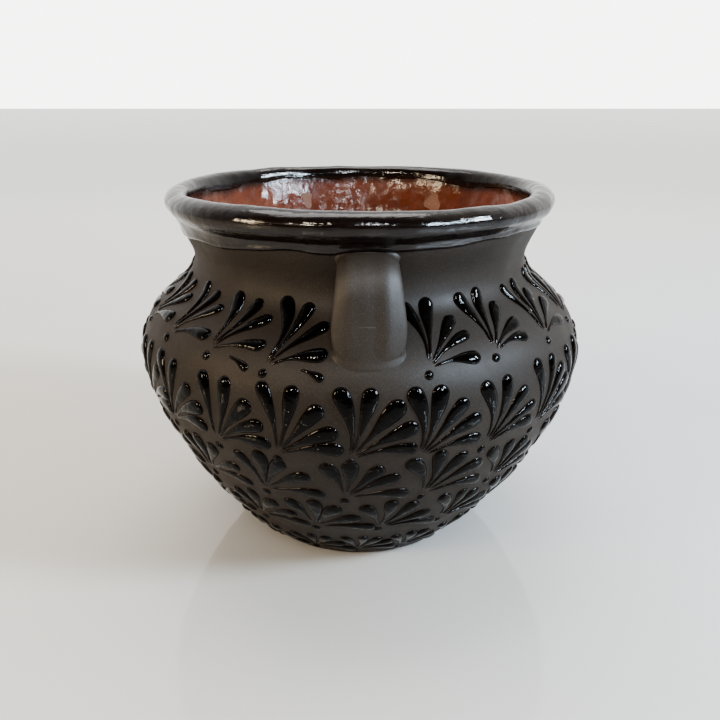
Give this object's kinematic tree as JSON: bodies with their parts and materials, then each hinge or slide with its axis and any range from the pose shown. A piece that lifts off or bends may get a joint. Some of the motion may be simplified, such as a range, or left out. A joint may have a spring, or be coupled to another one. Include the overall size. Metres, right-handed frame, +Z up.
{
  "type": "two-handled clay pot",
  "caption": "Round-bellied clay pot with a rolled glazed lip, strap handles under the lip and raised glossy teardrop fans round the outside, for serving or holding food or drink.",
  "frame": {"origin": "centre of the flat foot, on the surface that the pot stands on", "axes": "+Z up along the pot's axis, -Y towards the front handle"},
  "size_m": [0.2, 0.2, 0.1596],
  "materials": {
    "fired_clay": "unglazed red-brown clay",
    "slipped_clay": "matte dark slip over clay",
    "matte_slip": "matte, slightly speckled",
    "black_glaze": "glossy",
    "brown_glaze": "glossy, uneven",
    "stroke_glaze": "glossy, raised"
  },
  "bodies": {
    "root": {"clay_body": "fired_clay", "handle_front": "slipped_clay", "handle_back": "slipped_clay", "slip_coat": "matte_slip", "rim_glaze": "black_glaze", "interior_glaze": "brown_glaze", "fan_strokes_row_1": "stroke_glaze", "fan_strokes_row_2": "stroke_glaze", "fan_strokes_row_3": "stroke_glaze", "fan_strokes_row_4": "stroke_glaze", "fan_strokes_row_5": "stroke_glaze", "root_dots_row_1": "stroke_glaze", "root_dots_row_2": "stroke_glaze", "root_dots_row_3": "stroke_glaze", "root_dots_row_4": "stroke_glaze", "root_dots_row_5": "stroke_glaze", "comma_strokes": "stroke_glaze"}
  },
  "joints": []
}
